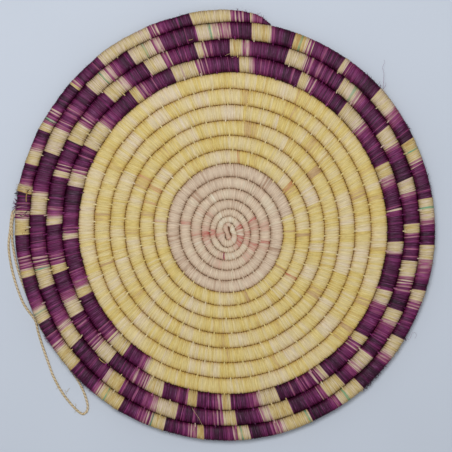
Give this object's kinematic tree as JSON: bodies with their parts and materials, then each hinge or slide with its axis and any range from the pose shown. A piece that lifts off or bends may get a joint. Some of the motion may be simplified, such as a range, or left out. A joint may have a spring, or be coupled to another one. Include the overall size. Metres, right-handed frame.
{
  "type": "wall basket",
  "caption": "Round wall basket of one raffia-wrapped grass coil: pink centre, golden field, plum and natural border, a bound tail at the rim and a twine loop to hang it by.",
  "frame": {"origin": "middle of the basket's own box, on the surface it lies on; the hanging loop isn't counted", "axes": "+Z out of the basket's face, +Y to the top of the picture, where the bound tail is, +X to the picture's right"},
  "size_m": [0.3103, 0.3108, 0.0145],
  "materials": {
    "grass_bundle": "dry grass stalks, matt",
    "pink_raffia": "raffia strands dyed a pale pinkish beige, soft sheen",
    "gold_raffia": "raffia strands dyed golden yellow in uneven tones, soft sheen",
    "plum_raffia": "raffia strands dyed plum at one end, fading to natural straw, soft sheen",
    "natural_raffia": "undyed raffia, twisted or laid flat, soft sheen"
  },
  "bodies": {
    "root": {"foundation_coil": "grass_bundle", "first_bend": "pink_raffia", "pink_wrap_1": "pink_raffia", "pink_wrap_2": "pink_raffia", "pink_wrap_3": "pink_raffia", "pink_wrap_4": "pink_raffia", "pink_wrap_5": "pink_raffia", "pink_wrap_6": "pink_raffia", "gold_wrap_1": "gold_raffia", "gold_wrap_2": "gold_raffia", "gold_wrap_3": "gold_raffia", "gold_wrap_4": "gold_raffia", "gold_wrap_5": "gold_raffia", "gold_wrap_6": "gold_raffia", "gold_wrap_7": "gold_raffia", "plum_wrap_01": "plum_raffia", "plum_wrap_02": "plum_raffia", "plum_wrap_03": "plum_raffia", "plum_wrap_04": "plum_raffia", "plum_wrap_05": "plum_raffia", "plum_wrap_06": "plum_raffia", "plum_wrap_07": "plum_raffia", "plum_wrap_08": "plum_raffia", "plum_wrap_09": "plum_raffia", "plum_wrap_10": "plum_raffia", "plum_wrap_11": "plum_raffia", "plum_wrap_12": "plum_raffia", "plum_wrap_13": "plum_raffia", "plum_wrap_14": "plum_raffia", "plum_wrap_15": "plum_raffia", "plum_wrap_16": "plum_raffia", "plum_wrap_17": "plum_raffia", "plum_wrap_18": "plum_raffia", "plum_wrap_19": "plum_raffia", "plum_wrap_20": "plum_raffia", "plum_wrap_21": "plum_raffia", "plum_wrap_22": "plum_raffia", "plum_wrap_23": "plum_raffia", "plum_wrap_24": "plum_raffia", "plum_wrap_25": "plum_raffia", "plum_wrap_26": "plum_raffia", "plum_wrap_27": "plum_raffia", "plum_wrap_28": "plum_raffia", "plum_wrap_29": "plum_raffia", "plum_wrap_30": "plum_raffia", "plum_wrap_31": "plum_raffia", "plum_wrap_32": "plum_raffia", "plum_wrap_33": "plum_raffia", "plum_wrap_34": "plum_raffia", "plum_wrap_35": "plum_raffia", "plum_wrap_36": "plum_raffia", "plum_wrap_37": "plum_raffia", "plum_wrap_38": "plum_raffia", "plum_wrap_39": "plum_raffia", "plum_wrap_40": "plum_raffia", "plum_wrap_41": "plum_raffia", "end_binding": "plum_raffia", "loop_lashing": "natural_raffia", "loop_knot": "natural_raffia", "hanging_loop": "natural_raffia"}
  },
  "joints": []
}
